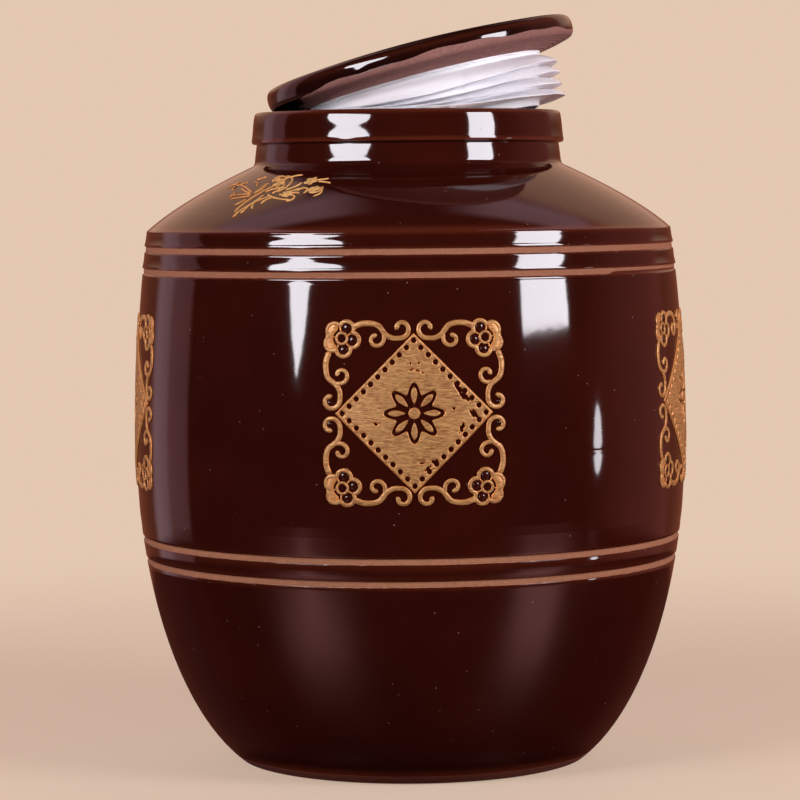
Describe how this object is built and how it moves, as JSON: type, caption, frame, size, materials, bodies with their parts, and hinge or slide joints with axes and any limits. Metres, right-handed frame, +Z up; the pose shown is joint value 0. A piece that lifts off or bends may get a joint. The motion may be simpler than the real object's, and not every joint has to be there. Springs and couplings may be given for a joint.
{
  "type": "wine jar",
  "caption": "Wide-bellied glazed stoneware wine jar with bare clay bands, gilt relief panels, a short collared neck and a domed lid on a soft finned plug.",
  "frame": {"origin": "centre of the foot ring, on the surface the jar stands on", "axes": "+Z up along the jar's axis of turning; -Y towards the front relief panel; +X to the raised side of the propped lid"},
  "size_m": [0.2631, 0.2632, 0.3512],
  "materials": {
    "glaze": "dark brown gloss glaze, bare clay at the bands and foot",
    "lid_glaze": "dark brown gloss glaze above, bare clay wash below",
    "soft_plastic": "white translucent soft moulding, satin",
    "gilt": "gold painted relief, brushed"
  },
  "bodies": {
    "jar": {"jar_body": "glaze", "medallion_panel_front": "gilt", "medallion_panel_right": "gilt", "medallion_panel_back": "gilt", "medallion_panel_left": "gilt"},
    "lid_and_plug": {"lid": "lid_glaze", "seal_plug": "soft_plastic"}
  },
  "joints": [
    {"name": "lid_lift", "type": "slide", "parent": "jar", "child": "lid_and_plug", "axis": [0, 0, 1], "range_m": [0, 0.15]}
  ]
}
